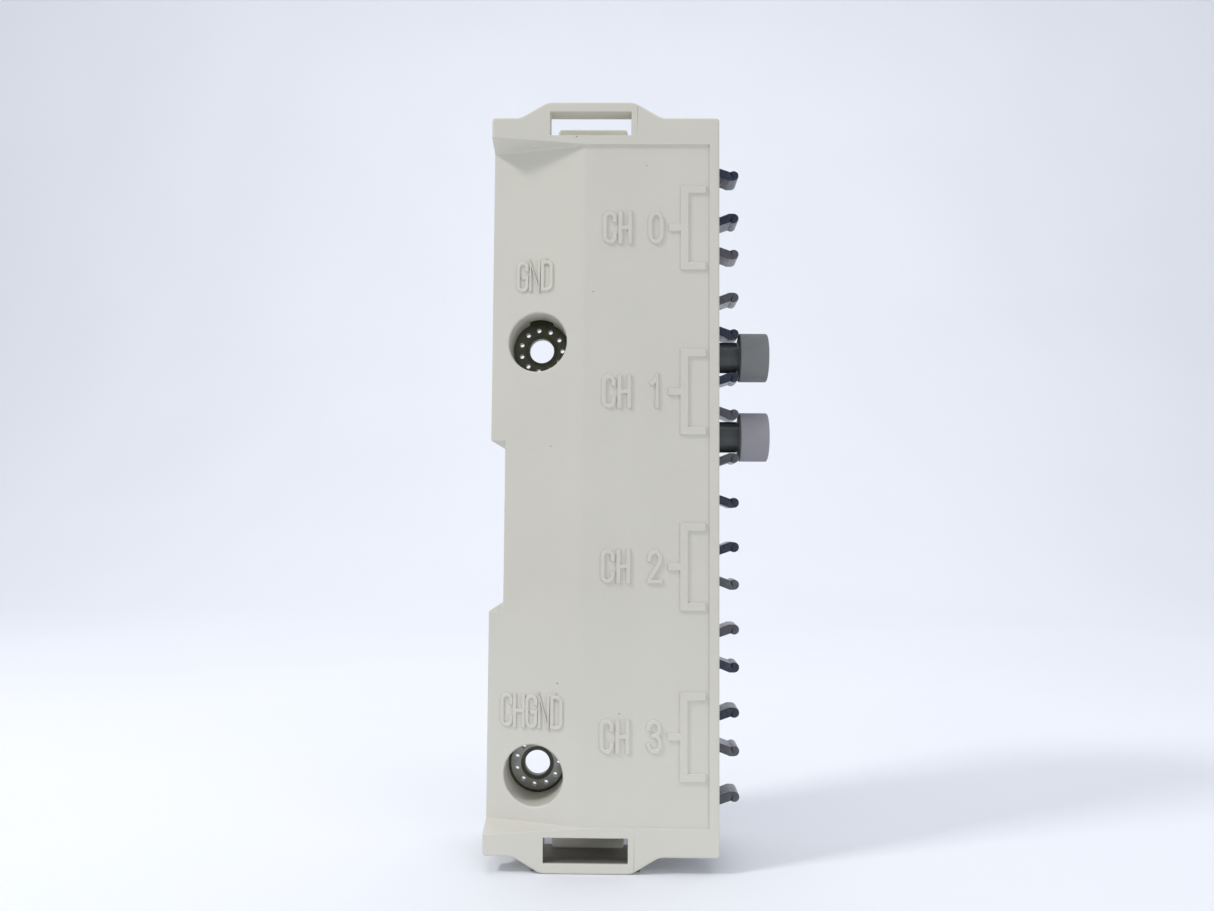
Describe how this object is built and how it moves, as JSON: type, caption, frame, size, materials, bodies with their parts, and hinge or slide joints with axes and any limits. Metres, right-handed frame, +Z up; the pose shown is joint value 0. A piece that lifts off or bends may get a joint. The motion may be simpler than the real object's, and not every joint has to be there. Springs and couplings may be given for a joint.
{
  "type": "optical fibre input/output module",
  "caption": "Upright plug-in control module: a flanged grey housing over one circuit board, with a column of snap-in fibre ports along one side, two of them closed by dust plugs.",
  "frame": {"origin": "on the standing plane, under the middle of the end tabs, in the plane of the face", "axes": "+X out of the fibre ports, +Y from the face into the module, +Z up along its length"},
  "size_m": [0.048, 0.0241, 0.1296],
  "materials": {
    "housing_plastic": "light warm grey, fine matt moulding texture",
    "receiver_plastic": "dark navy, satin",
    "transmitter_plastic": "dark grey, satin",
    "plug_rubber": "mid grey, smooth matt",
    "board_laminate": "dark olive green solder mask",
    "tinned_metal": "dull tin",
    "lens_clear": "clear epoxy",
    "connector_plastic": "black glass-filled moulding",
    "contact_plating": "thin gold plate",
    "chip_epoxy": "black moulded epoxy",
    "can_metal": "drawn metal can",
    "capacitor_epoxy": "yellow moulded epoxy",
    "capacitor_ceramic": "fired ceramic, tinned ends"
  },
  "bodies": {
    "housing": {"front_cover": "housing_plastic", "rear_frame": "housing_plastic", "main_board": "board_laminate", "screw_lands": "tinned_metal", "host_connector": "connector_plastic", "host_connector_contacts": "contact_plating", "link_chip": "chip_epoxy", "link_chip_leads": "tinned_metal", "driver_chips": "chip_epoxy", "driver_chip_leads": "tinned_metal", "crystal": "can_metal", "bulk_capacitors": "capacitor_epoxy", "bypass_capacitors": "capacitor_ceramic", "resistors": "chip_epoxy", "receiver_1": "receiver_plastic", "receiver_1_leads": "tinned_metal", "receiver_1_lens": "lens_clear", "transmitter_1": "transmitter_plastic", "transmitter_1_leads": "tinned_metal", "transmitter_1_lens": "lens_clear", "receiver_2": "receiver_plastic", "receiver_2_leads": "tinned_metal", "receiver_2_lens": "lens_clear", "transmitter_2": "transmitter_plastic", "transmitter_2_leads": "tinned_metal", "transmitter_2_lens": "lens_clear", "receiver_3": "receiver_plastic", "receiver_3_leads": "tinned_metal", "receiver_3_lens": "lens_clear", "transmitter_3": "transmitter_plastic", "transmitter_3_leads": "tinned_metal", "transmitter_3_lens": "lens_clear", "receiver_4": "receiver_plastic", "receiver_4_leads": "tinned_metal", "receiver_4_lens": "lens_clear", "transmitter_4": "transmitter_plastic", "transmitter_4_leads": "tinned_metal", "transmitter_4_lens": "lens_clear"},
    "dust_plug_1": {"dust_plug_1": "plug_rubber"},
    "dust_plug_2": {"dust_plug_2": "plug_rubber"}
  },
  "joints": [
    {"name": "dust_plug_1_pull", "type": "slide", "parent": "housing", "child": "dust_plug_1", "axis": [1, 0, 0], "range_m": [0, 0.0115]},
    {"name": "dust_plug_2_pull", "type": "slide", "parent": "housing", "child": "dust_plug_2", "axis": [1, 0, 0], "range_m": [0, 0.0115]}
  ]
}
